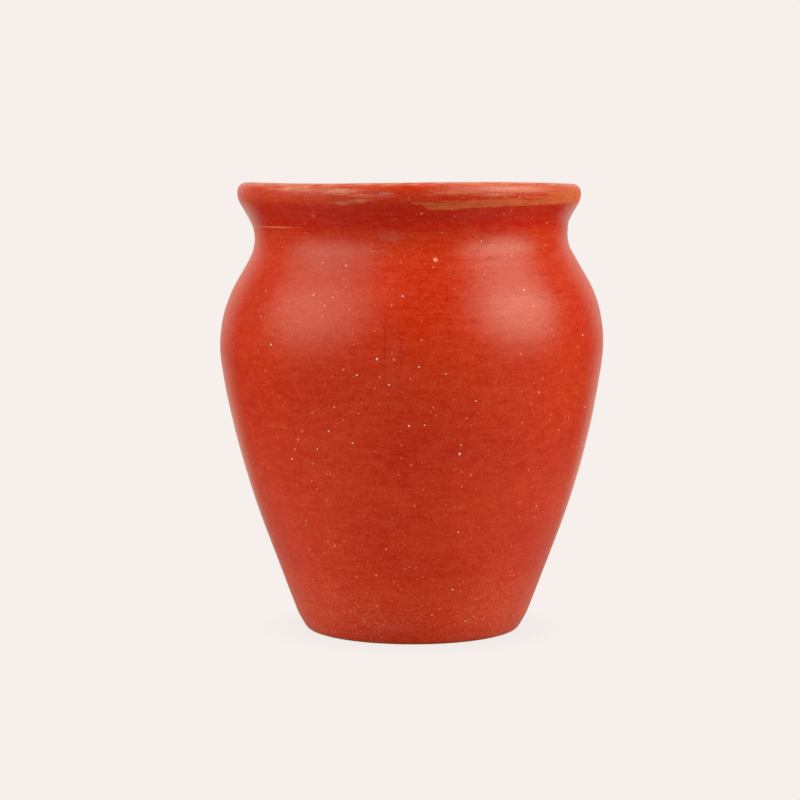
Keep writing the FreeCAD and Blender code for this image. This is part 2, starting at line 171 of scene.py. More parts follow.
def makeSectionMesh():
    # Points from the base to the floor, with the distance along the wall from the top of the lip:
    # negative outside and positive inside
    rows = wallRows.copy()
    outside = (alongWall < 0) & (rows[:, 0] > potNode.dimensions.x / 4)
    heights, offsets = np.array(thrownOffset).T * mm
    rows[outside, 0] += np.interp(rows[outside, 1], heights, offsets)
    mesh = bpy.data.meshes.new("wallSection")
    mesh.from_pydata([(r, 0, z) for r, z in rows], [], [])
    attribute = mesh.attributes.new("alongWallMm", "FLOAT", "POINT")
    attribute.data.foreach_set("value", alongWall / mm)
    return mesh


# The pot's thrown wall

wallSettings = {
    "Columns": 200,  # faces round the pot
    "Lean (mm)": 0.8,
    "Rim Wave (mm)": 0.2,  # up and down
    "Rim Wave Turn": math.radians(-33),
    "Rim Lobes": 3.0,
    "Out of Round (mm)": 0.08,
    "Throwing Ring (mm)": 0.03,  # how far the rings and the marks below stand out
    "Throwing Ring Spacing (mm)": 5.0,
    "Wire Mark (mm)": 0.13,
    "Wire Mark Spacing (mm)": 2.4,
    "Floor Spiral (mm)": 0.25,
    "Floor Spiral Spacing (mm)": 3.4,
    "Seed": 4.0,
}
# Where its features begin and end
wallLimits = {
    "swell": {"From Min": 0.0, "From Max": 10 * mm},  # by radius: the poles don't move
    "wave": {"From Min": 0.86, "From Max": 1.0},  # by share of the height
    "ringWander": 0.35,
    "roundness": 1.1,
    "fromNoise": 4.0,  # noise stays within a quarter of its middle, so this makes it -1 to 1
    "wirePull": (19 * mm, 31 * mm, 0.0),  # the wire's arcs bend round this place
    "wireMarks": {"From Min": 27.4 * mm, "From Max": 26 * mm},  # by radius, and below this height
    "wireHeight": 1.2 * mm,
    "spiral": {"From Min": 15 * mm, "From Max": 9 * mm},  # by radius
    "spiralMiddle": {"From Min": 0.0, "From Max": 3 * mm},
}
# How far the axis leans to the right, as a share of the lean, from the foot up to the rim
leanByHeight = [(0, 0.25), (0.3, 0.27), (0.44, 0.1), (0.58, -0.13), (0.67, 0), (0.76, 0.33),
                (0.81, 0.42), (0.86, -0.05), (0.9, -0.48), (0.94, -1.0), (1, -0.9)]


def buildWallTree():
    tree = bpy.data.node_groups.new("Thrown Wall", "GeometryNodeTree")
    tree.is_modifier = True
    face = tree.interface
    face.new_socket("Section", in_out="INPUT", socket_type="NodeSocketGeometry")
    for name, value in wallSettings.items():
        kind = "NodeSocketInt" if isinstance(value, int) else "NodeSocketFloat"
        face.new_socket(name, in_out="INPUT", socket_type=kind)
    face.new_socket("Height", in_out="INPUT", socket_type="NodeSocketFloat")
    face.new_socket("Material", in_out="INPUT", socket_type="NodeSocketMaterial")
    face.new_socket("Wall", in_out="OUTPUT", socket_type="NodeSocketGeometry")
    given = addNode(tree, "NodeGroupInput").outputs
    scaled = {}
    for name in wallSettings:
        if name.endswith("(mm)"):
            scaled[name] = addNode(tree, "ShaderNodeMath", [given[name], mm], operation="MULTIPLY")

    # A grid with a row for each point of the section, rolled round the axis
    rowCount = addNode(tree, "GeometryNodeAttributeDomainSize", [given["Section"]])
    around = addNode(tree, "ShaderNodeMath", [given["Columns"], 1.0])
    grid = addNode(tree, "GeometryNodeMeshGrid", {"Vertices X": rowCount, "Vertices Y": around})
    index = addNode(tree, "GeometryNodeInputIndex")
    row = addNode(tree, "ShaderNodeMath", [index, around], operation="DIVIDE")
    row = addNode(tree, "ShaderNodeMath", [row], operation="FLOOR")
    column = addNode(tree, "ShaderNodeMath", [index, around], operation="MODULO")
    turn = addNode(tree, "ShaderNodeMath", [column, given["Columns"]], operation="DIVIDE")
    turn = addNode(tree, "ShaderNodeMath", [turn, math.tau], operation="MULTIPLY")
    placed = addNode(tree, "GeometryNodeInputPosition")
    sample = addNode(tree, "GeometryNodeSampleIndex", {"Geometry": given["Section"],
                     "Value": placed, "Index": row}, data_type="FLOAT_VECTOR")
    sectionPoint = addNode(tree, "ShaderNodeSeparateXYZ", [sample])
    radius, height = sectionPoint.outputs["X"], sectionPoint.outputs["Z"]
    named = addNode(tree, "GeometryNodeInputNamedAttribute", ["alongWallMm"], data_type="FLOAT")
    along = addNode(tree, "GeometryNodeSampleIndex", {"Geometry": given["Section"],
                    "Value": named, "Index": row}, data_type="FLOAT")

    # The turn starts at the back, where a seam in the slip's pattern would show least
    sine = addNode(tree, "ShaderNodeMath", [turn], operation="SINE")
    cosine = addNode(tree, "ShaderNodeMath", [turn], operation="COSINE")
    outward = addNode(tree, "ShaderNodeCombineXYZ", [sine, cosine, 0.0])

    # Throwing rings: ridges that wander a little as they go round
    wander = wallLimits["ringWander"]
    ringRoom = addNode(tree, "ShaderNodeMath", [height, scaled["Throwing Ring Spacing (mm)"]],
                       operation="DIVIDE")
    ringPlace = addNode(tree, "ShaderNodeCombineXYZ", [
        addNode(tree, "ShaderNodeMath", [sine, wander], operation="MULTIPLY"),
        addNode(tree, "ShaderNodeMath", [cosine, wander], operation="MULTIPLY"), ringRoom])
    ringNoise = addNode(tree, "ShaderNodeTexNoise", {"Vector": ringPlace, "W": given["Seed"],
                        "Scale": 1.0, "Detail": 1.0}, noise_dimensions="4D")
    ringHeight = addNode(tree, "ShaderNodeMath", [ringNoise, 0.5], operation="SUBTRACT")
    for factor in (scaled["Throwing Ring (mm)"], wallLimits["fromNoise"]):
        ringHeight = addNode(tree, "ShaderNodeMath", [ringHeight, factor], operation="MULTIPLY")

    # The pot isn't quite round, and less so near the foot
    share = addNode(tree, "ShaderNodeMath", [height, given["Height"]], operation="DIVIDE",
                    use_clamp=True)
    roundPlace = addNode(tree, "ShaderNodeCombineXYZ", [sine, cosine, share])
    roundNoise = addNode(tree, "ShaderNodeTexNoise", {"Vector": roundPlace, "W": given["Seed"],
                         "Scale": wallLimits["roundness"], "Detail": 0.0},
                         noise_dimensions="4D")
    bulge = addNode(tree, "ShaderNodeMath", [roundNoise, 0.5], operation="SUBTRACT")
    for factor in (scaled["Out of Round (mm)"], share, wallLimits["fromNoise"]):
        bulge = addNode(tree, "ShaderNodeMath", [bulge, factor], operation="MULTIPLY")
    swell = addNode(tree, "ShaderNodeMath", [ringHeight, bulge])
    offPole = addNode(tree, "ShaderNodeMapRange", {"Value": radius, **wallLimits["swell"]},
                      interpolation_type="SMOOTHSTEP")
    swell = addNode(tree, "ShaderNodeMath", [swell, offPole], operation="MULTIPLY")
    reach = addNode(tree, "ShaderNodeMath", [radius, swell])

    # The rim rises and falls in soft lobes, and the axis leans
    lobes = addNode(tree, "ShaderNodeMath", [turn, given["Rim Wave Turn"]], operation="ADD")
    lobes = addNode(tree, "ShaderNodeMath", [lobes, given["Rim Lobes"]], operation="MULTIPLY")
    lobes = addNode(tree, "ShaderNodeMath", [lobes], operation="COSINE")
    nearRim = addNode(tree, "ShaderNodeMapRange", {"Value": share, **wallLimits["wave"]},
                      interpolation_type="SMOOTHSTEP")
    wave = addNode(tree, "ShaderNodeMath", [lobes, scaled["Rim Wave (mm)"]], operation="MULTIPLY")
    wave = addNode(tree, "ShaderNodeMath", [wave, nearRim], operation="MULTIPLY")
    leanCurve = addNode(tree, "ShaderNodeFloatCurve", {"Value": share})
    setCurve(leanCurve, [(place, 0.5 + shift / 2) for place, shift in leanByHeight])
    lean = addNode(tree, "ShaderNodeMapRange", {"Value": leanCurve, "To Min": -1.0})
    lean = addNode(tree, "ShaderNodeMath", [lean, scaled["Lean (mm)"]], operation="MULTIPLY")

    # The wire that cut the pot off the wheel leaves bowed furrows under the base
    planX = addNode(tree, "ShaderNodeMath", [sine, radius], operation="MULTIPLY")
    planY = addNode(tree, "ShaderNodeMath", [cosine, radius], operation="MULTIPLY")
    plan = addNode(tree, "ShaderNodeCombineXYZ", [planX, planY, 0.0])
    fromPull = addNode(tree, "ShaderNodeVectorMath", [plan, wallLimits["wirePull"]],
                       operation="DISTANCE")
    furrow = addNode(tree, "ShaderNodeMath", [fromPull.outputs["Value"],
                     scaled["Wire Mark Spacing (mm)"]], operation="DIVIDE")
    furrow = addNode(tree, "ShaderNodeMath", [furrow, math.tau], operation="MULTIPLY")
    furrow = addNode(tree, "ShaderNodeMath", [furrow], operation="SINE")
    furrow = addNode(tree, "ShaderNodeMath", [furrow, 1.0])
    underBase = addNode(tree, "ShaderNodeMapRange", {
        "Value": radius, **wallLimits["wireMarks"]}, interpolation_type="SMOOTHSTEP")
    lowDown = addNode(tree, "ShaderNodeMath", [height, wallLimits["wireHeight"]],
                      operation="LESS_THAN")
    for mask in (underBase, lowDown, scaled["Wire Mark (mm)"]):
        furrow = addNode(tree, "ShaderNodeMath", [furrow, mask], operation="MULTIPLY")

    # The potter's finger leaves a spiral on the floor
    spiral = addNode(tree, "ShaderNodeMath", [radius, scaled["Floor Spiral Spacing (mm)"]],
                     operation="DIVIDE")
    spiral = addNode(tree, "ShaderNodeMath", [spiral, math.tau, turn], operation="MULTIPLY_ADD")
    spiral = addNode(tree, "ShaderNodeMath", [spiral], operation="SINE")
    onFloor = addNode(tree, "ShaderNodeMapRange", {"Value": radius, **wallLimits["spiral"]},
                      interpolation_type="SMOOTHSTEP")
    offCentre = addNode(tree, "ShaderNodeMapRange", {
        "Value": radius, **wallLimits["spiralMiddle"]}, interpolation_type="SMOOTHSTEP")
    inside = addNode(tree, "ShaderNodeMath", [along, 0.0], operation="GREATER_THAN")
    for mask in (onFloor, offCentre, inside, scaled["Floor Spiral (mm)"]):
        spiral = addNode(tree, "ShaderNodeMath", [spiral, mask], operation="MULTIPLY")

    rise = addNode(tree, "ShaderNodeMath", [height, wave])
    rise = addNode(tree, "ShaderNodeMath", [rise, furrow])
    rise = addNode(tree, "ShaderNodeMath", [rise, spiral])
    rolled = addNode(tree, "ShaderNodeVectorMath", {0: outward, "Scale": reach}, operation="SCALE")
    moved = addNode(tree, "ShaderNodeCombineXYZ", [lean, 0.0, rise])
    position = addNode(tree, "ShaderNodeVectorMath", [rolled, moved])
    wall = addNode(tree, "GeometryNodeSetPosition", {"Geometry": grid, "Position": position})
    wall = addNode(tree, "GeometryNodeStoreNamedAttribute", {"Geometry": wall,
                   "Name": "alongWallMm", "Value": along}, data_type="FLOAT", domain="POINT")
    wall = addNode(tree, "GeometryNodeMergeByDistance", {"Geometry": wall,
                   "Distance": sectionSettings["mergeDistance"]})
    wall = addNode(tree, "GeometryNodeSetShadeSmooth", {"Geometry": wall})
    wall = addNode(tree, "GeometryNodeRealizeInstances", [wall])
    wall = addNode(tree, "GeometryNodeSetMaterial", {"Geometry": wall,
                   "Material": given["Material"]})
    addNode(tree, "NodeGroupOutput", [wall])
    return tree


def makePot(material):
    draft = bpy.data.objects.new("potDraft", makeSectionMesh())
    bpy.context.scene.collection.objects.link(draft)
    modifier = draft.modifiers.new("Thrown Wall", "NODES")
    modifier.node_group = buildWallTree()
    values = {**wallSettings, "Height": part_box("pot")[1].z, "Material": material}
    for item in modifier.node_group.interface.items_tree:
        if item.in_out == "INPUT" and item.name in values:
            modifier[item.identifier] = values[item.name]
    graph = bpy.context.evaluated_depsgraph_get()
    mesh = bpy.data.meshes.new_from_object(draft.evaluated_get(graph), depsgraph=graph)
    bpy.data.objects.remove(draft)
    mesh.name = "thrownWall"

    shell = bmesh.new()
    shell.from_mesh(mesh)
    bmesh.ops.recalc_face_normals(shell, faces=shell.faces)
    shell.to_mesh(mesh)
    openEdges = sum(not edge.is_manifold for edge in shell.edges)
    shell.free()
    pot = bpy.data.objects.new("thrownWall", mesh)
    bpy.context.scene.collection.objects.link(pot)
    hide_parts("pot")
    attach(pot, "root")
    print(f"stage 3: the wall has {len(mesh.polygons)} faces and {openEdges} open edges")


# Red slip, brushed on and burnished with a pebble, over low-fired terracotta. It gives the eye
# a deep red with a satin gloss, which the pebble's strokes round the pot spread up and down, and
# dull orange clay where it is gone

claySettings = {
    "slip": "#D1330A",
    "slipDeep": "#C92A07",  # where the slip lies thick
    "slipThin": "#D73E10",
    "slipGathered": "#CB2200",  # painted shade: a darker red in the hollow under the lip
    # Worn slip; the same colour also paints the sheen on the lip
    "slipWorn": "#EE9C82",
    "clay": "#D4541F",  # bare terracotta where the slip has rubbed off
    "clayPale": "#E5835C",
    "clayInside": "#C4532C",
    "pellet": "#F0936E",
    "crack": "#961404",
    "lime": "#FFCAC4",
    "limeStained": "#F28A6C",  # grains that the slip has half covered
    "ironGrit": "#6E1405",
    "scuff": "#CF8A8C",
    "roughness": 0.29,
    "roughnessBare": 0.55,
    "roughnessUnderLip": 0.2,
    "ior": 1.43,
    "anisotropy": 0.5,
    "anisotropyTurn": 0.25,  # a quarter turn, from along the strokes to across them
    "insideSlipMm": 17,  # how far the slip reaches down inside the mouth
    "insideSlipEdgeMm": 1.5,
}
# Each pattern's size across and up (mm), its detail and its seed
patterns = {
    "clouds": (22, 16, 2.0, 1.0),  # slip brushed on thicker and thinner
    "blotches": (3.4, 1.8, 1.0, 6.0),
    "streaks": (14, 0.9, 2.0, 2.0),  # brush marks
    "lines": (8, 0.5, 1.0, 5.0),  # strokes of the pebble
    "grain": (0.8, 0.6, 1.0, 8.0),  # the real one is near 0.2 mm, too fine to show
    "fineScuffs": (2.4, 0.32, 2.0, 12.0),
    "rimStreaks": (4.5, 0.4, 2.0, 15.0),
    "jagged": (1.3, 1.3, 2.0, 7.0),  # the flaked edge of the worn band
    "wrinkleBends": (7.0, 3.0, 1.0, 11.0),
    "wrinkleGaps": (3.6, 1.0, 1.0, 3.0),
}
seedMoves = (17, 29, 7)  # how far each seed moves its noise
# Random grains: the room for each one and its greatest radius (mm), the share of the rooms that
# are filled high on the wall and at the foot, and the seed
grainSettings = {
    "stained": (2.6, 0.45, 0.45, 0.8, 2.0),
    "dust": (1.1, 0.28, 0.2, 0.95, 4.0),
    "footDust": (0.8, 0.27, 0.9, 0.9, 6.0),
    "iron": (1.8, 0.27, 0.4, 0.4, 9.0),
}
# As shares of the greatest: the least radius and strength of a grain, and how soft its edge is
grainShares = {"radius": 0.6, "strength": 0.25, "edge": 0.5}
# Parts of the wall: by height (mm), by angle (degrees) or along the wall from the top of the lip
# (mm), from where to where, and how softly they end
zones = {
    "topEdge": ("along", -2.4, 0.6, 1.3),
    "lipFace": ("along", -6.5, 0.6, 2.0),
    "lipTop": ("height", 122.9, 126.0, 1.0),
    "leftLip": ("angle", -95.0, -20.0, 14.0),
    "rightLip": ("angle", 14.0, 66.0, 12.0),
    "bandLength": ("angle", -2.0, 104.0, 6.0),
    "underLip": ("height", 114.0, 118.0, 2.5),
    "shoulder": ("height", 96.0, 110.0, 6.0),
    "rightShoulder": ("angle", 14.0, 46.0, 9.0),
    "foot": ("height", -5.0, 9.0, 12.0),
    "front": ("angle", -7.0, 12.0, 12.0),
}
# How much each pattern darkens and lightens the colour, what a light place adds besides, and how
# far each layer stands out or lies deep (mm)
mottleDepths = {"grain": 0.06, "blotches": 0.04, "lines": 0.028}
bloom = (0.0, 0.17, 0.17)
reliefMm = {"lines": 0.009, "streaks": 0.01, "grain": 0.012, "cracks": -0.012, "band": -0.03}
# The long worn band on the right of the lip: degrees from the front, then the heights (mm)
# of its lower and its upper edge
wornBand = [(-8, 119.95, 119.75), (-2, 119.75, 120.05), (3, 119.2, 120.15),
            (6.8, 117.9, 120.3), (20, 118.4, 120.5), (32, 118.9, 120.8), (42, 119.05, 121.3),
            (50, 119.2, 122.2), (60, 119.4, 122.9), (78, 119.9, 123.2), (96, 120, 122.2),
            (112, 120.2, 119.9)]
bandAngles = (-10, 120)
bandHeights = (116, 126)
# Smaller rubbed places: angle, height, length round the lip and width (mm), strength
rubbedPlaces = [(-23.5, 122.7, 8.5, 1.6, 0.45), (-22.8, 119.7, 5.5, 0.8, 0.33),
                (-15.6, 121.7, 5.0, 0.8, 0.42), (-17, 120.3, 5.0, 1.0, 0.35),
                (38, 123.7, 26.0, 2.0, 0.12), (28.5, 121.9, 12.0, 0.8, 0.35),
                (14, 122.3, 18.0, 1.2, 0.25),
                (-42, 123.6, 16.0, 1.0, 0.5), (148, 120.6, 16.0, 1.8, 0.9),
                (-121, 121.8, 10.0, 1.2, 0.8)]
# Scratches: angle of the middle, height, length and width (mm), strength
scratches = [(-56, 113.1, 17.0, 0.3, 1.0), (-49, 110.6, 21.0, 0.36, 0.12),
             (-46, 60.0, 15.0, 0.3, 0.18), (148, 61.0, 9.0, 0.3, 0.4)]
# Pale scuffs where something has brushed past. The last, tall one is a painted reflection: a faint
# streak of light down the front of the belly
scuffsAndPaintedStreak = [(-8.6, 122.0, 6.0, 1.3, 0.4), (-7.2, 110.8, 6.0, 3.0, 0.16),
          (-10, 5.5, 10.0, 3.0, 0.07), (-5.2, 79, 4.2, 26.0, 0.045)]
# The largest grains of lime: angle, height, diameter (mm)
limeGrains = [(14.8, 54.2, 0.75), (16.8, 32.6, 0.5), (-41.3, 51.6, 0.6), (-0.8, 61.9, 0.55),
              (-18.1, 57.0, 0.5), (17.3, 16.2, 0.5), (-43.5, 26.0, 0.5), (26.0, 6.7, 0.5),
              (-41.6, 33.2, 0.45), (-25.6, 60.0, 0.48), (49.6, 34.9, 0.45), (-9.7, 79.5, 0.65),
              (-6.4, 72.8, 0.5), (-44.2, 82.3, 0.58), (-2.7, 95.7, 0.45), (36.4, 96.8, 0.6),
              (59.7, 84.2, 0.5), (-15.5, 75.2, 0.48), (76.9, 109.3, 0.45), (67.0, 64.1, 0.5),
              (-30.4, 54.9, 0.42), (-50.3, 89.6, 0.42), (2.0, 77.5, 0.45), (9.6, 75.6, 0.42),
              (3.8, 62.1, 0.42), (18.8, 68.3, 0.42), (24.8, 109.7, 0.42), (36.2, 105.7, 0.42)]
# Smaller ones under a film of slip
stainedGrains = [(6.2, 66.8, 0.42), (6.9, 64.6, 0.4), (16.3, 63.7, 0.42), (-15.6, 65.0, 0.42),
                 (-0.3, 74.4, 0.42), (-9.0, 74.8, 0.45), (-10.5, 71.8, 0.4), (-4.2, 48.7, 0.42),
                 (-34.5, 46.0, 0.42), (-28.2, 48.2, 0.45), (-27.0, 48.2, 0.4), (-35.0, 59.5, 0.42),
                 (15.8, 49.3, 0.42), (9.2, 9.0, 0.55), (-15.5, 11.4, 0.5), (12.5, 10.8, 0.45)]
clayPellet = (7.9, 105.0, 1.25)  # a pellet of pale clay under the slip
# How the marks are drawn
markSettings = {
    "dustTone": 0.65,
    "crackTone": 0.6,
    "crackEndMm": 2.5,
    "crackBendMm": 3.0,
    "wrinkleSpacingMm": 0.85,
    "wrinkleRiseMm": 5.0,
    "wrinklesStartMm": -12.0,
    "paintedSheenLeft": 0.06,
    "rightWearAndSheen": 0.2,
}
# From where each mark begins to where it is full, and how strong it is there
fades = {
    "patch": {"From Min": 1.5, "From Max": 0.35},  # in half lengths from its middle
    "grain": {"From Min": 0.62, "From Max": 0.3},  # in diameters from its middle
    "pitShade": {"From Min": 1.15, "From Max": 0.7, "To Max": 0.4},  # painted shade in a pit round a grain of lime
    "crack": {"From Min": 0.3, "From Max": 0.04},  # mm from its line
    "crackWander": {"To Min": -0.8, "To Max": 0.8},  # mm to either side
    "wrinkle": {"From Min": 0.2, "From Max": 0.03},  # mm from its line
    "wrinkleGaps": {"From Min": 0.46, "From Max": 0.58},
    "wrinkles": {"To Min": 0.25},  # the rest of the shoulder has fewer than the right
    "jagged": {"To Min": -0.5, "To Max": 0.5},  # mm up and down
    "bandLower": {"From Min": -0.08, "From Max": 0.12},  # mm past the edge
    "bandUpper": {"From Min": -0.25, "From Max": 0.45},
    "ragged": {"From Min": 0.25, "From Max": 0.75, "To Min": -1.0},  # to either side of an edge
    "scuffed": {"From Min": 0.25, "From Max": 0.75, "To Min": -0.9, "To Max": 1.1},
    "topWearAndSheen": {"From Min": 0.38, "From Max": 0.62, "To Min": 0.15, "To Max": 0.75},
    "mottle": {"From Min": 0.25, "From Max": 0.75},
    "under": {"From Min": 0.9, "From Max": 0.3},  # mm above the table
    "hollow": {"From Min": 28.2, "From Max": 27.4},  # mm from the middle of the base
    "lowDown": {"From Min": 45.0, "From Max": 3.0},  # mm above the table
    "front": {"To Min": 1.0, "To Max": 0.4},
    "footDust": {"To Min": 0.05, "To Max": 0.8},
    "shade": {"From Min": 0.3, "From Max": 0.7},  # from deep slip to plain slip
    "thin": {"From Min": 0.45, "From Max": 0.8, "To Max": 0.16},
    "bareShade": {"From Min": 0.4, "From Max": 0.7, "To Max": 0.18},
}
# Hair cracks that run up the wall: angle, lowest and highest height (mm), strength
hairCracks = [(-7.4, 75, 92.5, 0.75), (-3.1, 75.5, 87.0, 0.75), (-23.4, 82.5, 88.5, 0.5),
              (10.5, 81, 106, 0.45), (172, 72, 86, 0.45)]


# Off the base, so that each height has one place on the wall
outsideOutline = wallRows[(alongWall < 0) & (wallRows[:, 1] > 0.01 * mm)]


def pointOnWall(angle, height):
    # The place of a mark on the outside, from the frame's own outline
    side = math.radians(angle)
    radius = float(np.interp(height * mm, outsideOutline[:, 1], outsideOutline[:, 0])) / mm
    return (math.sin(side) * radius, -math.cos(side) * radius, height)


def addPlaces(tree):
    # Where a point of the clay lies: in millimetres, round the axis, and along the wall
    place = addNode(tree, "ShaderNodeTexCoord").outputs["Object"]
    point = addNode(tree, "ShaderNodeVectorMath", {0: place, "Scale": 1 / mm}, operation="SCALE")
    parts = addNode(tree, "ShaderNodeSeparateXYZ", [point])
    front = addNode(tree, "ShaderNodeMath", [parts.outputs["Y"], -1.0], operation="MULTIPLY")
    angle = addNode(tree, "ShaderNodeMath", [parts.outputs["X"], front], operation="ARCTAN2")
    angle = addNode(tree, "ShaderNodeMath", [angle], operation="DEGREES")
    along = addNode(tree, "ShaderNodeAttribute", attribute_name="alongWallMm")
    return {"point": point, "height": parts.outputs["Z"], "angle": angle,
            "along": along.outputs["Fac"]}


def addPattern(tree, point, name):
    # Noise drawn out round the pot, as all marks made on the wheel are
    acrossMm, upMm, detail, seed = patterns[name]
    mapped = addNode(tree, "ShaderNodeMapping", {
        "Vector": point, "Location": [seed * move for move in seedMoves],
        "Scale": (1 / acrossMm, 1 / acrossMm, 1 / upMm)})
    return addNode(tree, "ShaderNodeTexNoise", {"Vector": mapped, "Scale": 1.0,
                   "Detail": detail})


def addAll(tree, masks, operation):
    total = masks[0]
    for mask in masks[1:]:
        total = addNode(tree, "ShaderNodeMath", [total, mask], operation=operation)
    return total


def addWindow(tree, value, low, high, soft):
    # 1 between low and high, and fading outside them
    rise = addNode(tree, "ShaderNodeMapRange", {"Value": value, "From Min": low - soft,
                   "From Max": low})
    fall = addNode(tree, "ShaderNodeMapRange", {"Value": value, "From Min": high + soft,
                   "From Max": high})
    return addNode(tree, "ShaderNodeMath", [rise, fall], operation="MULTIPLY")


def addZone(tree, places, name):
    kind, low, high, soft = zones[name]
    return addWindow(tree, places[kind], low, high, soft)


def addPatches(tree, places, patches, ragged):
    # Soft-edged ellipses on the wall, broken up by the ragged noise
    masks = []
    for angle, height, length, width, strength in patches:
        gap = addNode(tree, "ShaderNodeVectorMath", [places["point"], pointOnWall(angle, height)],
                      operation="SUBTRACT")
        gap = addNode(tree, "ShaderNodeVectorMath", [gap, (length / 2, length / 2, width / 2)],
                      operation="DIVIDE")
        reach = addNode(tree, "ShaderNodeVectorMath", [gap], operation="LENGTH")
        reach = addNode(tree, "ShaderNodeMath", [reach.outputs["Value"], ragged])
        masks.append(addNode(tree, "ShaderNodeMapRange", {
            "Value": reach, "To Max": strength, **fades["patch"]}))
    return addAll(tree, masks, "MAXIMUM")


def addWornBand(tree, places, streaks, scuffed):
    # Between two drawn edges the slip is gone; the lower one is crisp and the upper one streaky
    across = addNode(tree, "ShaderNodeMapRange", {
        "Value": places["angle"], "From Min": bandAngles[0], "From Max": bandAngles[1]})
    jagged = addPattern(tree, places["point"], "jagged")
    jagged = addNode(tree, "ShaderNodeMapRange", {"Value": jagged, **fades["jagged"]})
    edges = []
    for column in (1, 2):
        curve = addNode(tree, "ShaderNodeFloatCurve", {"Value": across})
        setCurve(curve, [((point[0] - bandAngles[0]) / (bandAngles[1] - bandAngles[0]),
                          (point[column] - bandHeights[0]) / (bandHeights[1] - bandHeights[0]))
                         for point in wornBand])
        edges.append(addNode(tree, "ShaderNodeMapRange", {
            "Value": curve, "To Min": bandHeights[0], "To Max": bandHeights[1]}))
    above = addNode(tree, "ShaderNodeMath", [places["height"], edges[0]], operation="SUBTRACT")
    above = addNode(tree, "ShaderNodeMath", [above, jagged])
    lower = addNode(tree, "ShaderNodeMapRange", {"Value": above, **fades["bandLower"]})
    below = addNode(tree, "ShaderNodeMath", [edges[1], places["height"]], operation="SUBTRACT")
    below = addNode(tree, "ShaderNodeMath", [below, streaks])
    below = addNode(tree, "ShaderNodeMath", [below, scuffed], operation="SUBTRACT")
    upper = addNode(tree, "ShaderNodeMapRange", {"Value": below, **fades["bandUpper"]})
    outside = addNode(tree, "ShaderNodeMath", [places["along"], 0.0], operation="LESS_THAN")
    length = addZone(tree, places, "bandLength")
    return addAll(tree, [lower, upper, outside, length], "MULTIPLY")


def addGrains(tree, places, lowDown, name):
    # Random grains in the clay, cut open by the surface, each with its own strength
    cellMm, radiusMm, shareHigh, shareLow, seed = grainSettings[name]
    moved = addNode(tree, "ShaderNodeVectorMath", [
        places["point"], (seed * seedMoves[0], seed * seedMoves[1], 0)])
    spread = addNode(tree, "ShaderNodeTexVoronoi", {"Vector": moved, "Scale": 1 / cellMm})
    chance = addNode(tree, "ShaderNodeSeparateColor", [spread.outputs["Color"]])
    size = addNode(tree, "ShaderNodeMapRange", {
        "Value": chance.outputs["Green"], "To Min": grainShares["radius"] * radiusMm / cellMm,
        "To Max": radiusMm / cellMm})
    depth = addNode(tree, "ShaderNodeMath", [size, spread.outputs["Distance"]],
                    operation="SUBTRACT")
    mask = addNode(tree, "ShaderNodeMapRange", {"Value": depth,
                   "From Max": grainShares["edge"] * radiusMm / cellMm})
    share = addNode(tree, "ShaderNodeMapRange", {"Value": lowDown, "To Min": shareHigh,
                    "To Max": shareLow})
    chosen = addNode(tree, "ShaderNodeMath", [chance.outputs["Red"], share],
                     operation="LESS_THAN")
    strength = addNode(tree, "ShaderNodeMapRange", {"Value": chance.outputs["Blue"],
                       "To Min": grainShares["strength"]})
    return addAll(tree, [mask, chosen, strength], "MULTIPLY")


def addNearestGrain(tree, places, grains):
    # The distance to the nearest of the listed grains, in diameters of that grain
    gaps = []
    for angle, height, diameter in grains:
        gap = addNode(tree, "ShaderNodeVectorMath",
                      [places["point"], pointOnWall(angle, height)], operation="DISTANCE")
        gaps.append(addNode(tree, "ShaderNodeMath", [gap.outputs["Value"], 1 / diameter],
                            operation="MULTIPLY"))
    return addAll(tree, gaps, "MINIMUM")


def addHairCrack(tree, places, wander, angle, low, high, strength):
    # A crack that climbs the wall and wanders a little to either side
    middle = pointOnWall(angle, (low + high) / 2)
    radius = math.hypot(middle[0], middle[1])
    off = addNode(tree, "ShaderNodeMath", [places["angle"], angle], operation="SUBTRACT")
    off = addNode(tree, "ShaderNodeMath", [off, math.radians(1) * radius, wander],
                  operation="MULTIPLY_ADD")
    off = addNode(tree, "ShaderNodeMath", [off], operation="ABSOLUTE")
    line = addNode(tree, "ShaderNodeMapRange", {"Value": off, "To Max": strength,
                   **fades["crack"]})
    end = markSettings["crackEndMm"]
    length = addWindow(tree, places["height"], low + end, high - end, end)
    return addNode(tree, "ShaderNodeMath", [line, length], operation="MULTIPLY")


def addWrinkles(tree, places):
    # Short hair lines round the shoulder, where the slip shrank as it dried
    bends = addPattern(tree, places["point"], "wrinkleBends")
    level = addNode(tree, "ShaderNodeMath", [bends, markSettings["wrinkleRiseMm"],
                    places["height"]], operation="MULTIPLY_ADD")
    off = addNode(tree, "ShaderNodeMath", [level, markSettings["wrinkleSpacingMm"]],
                  operation="PINGPONG")
    lines = addNode(tree, "ShaderNodeMapRange", {"Value": off, **fades["wrinkle"]})
    broken = addPattern(tree, places["point"], "wrinkleGaps")
    broken = addNode(tree, "ShaderNodeMapRange", {"Value": broken, **fades["wrinkleGaps"]})
    levels = addZone(tree, places, "shoulder")
    rightShoulder = addZone(tree, places, "rightShoulder")
    amount = addNode(tree, "ShaderNodeMapRange", {"Value": rightShoulder, **fades["wrinkles"]})
    outside = addNode(tree, "ShaderNodeMath", [places["along"], markSettings["wrinklesStartMm"]],
                      operation="LESS_THAN")
    return addAll(tree, [lines, broken, levels, amount, outside], "MULTIPLY")


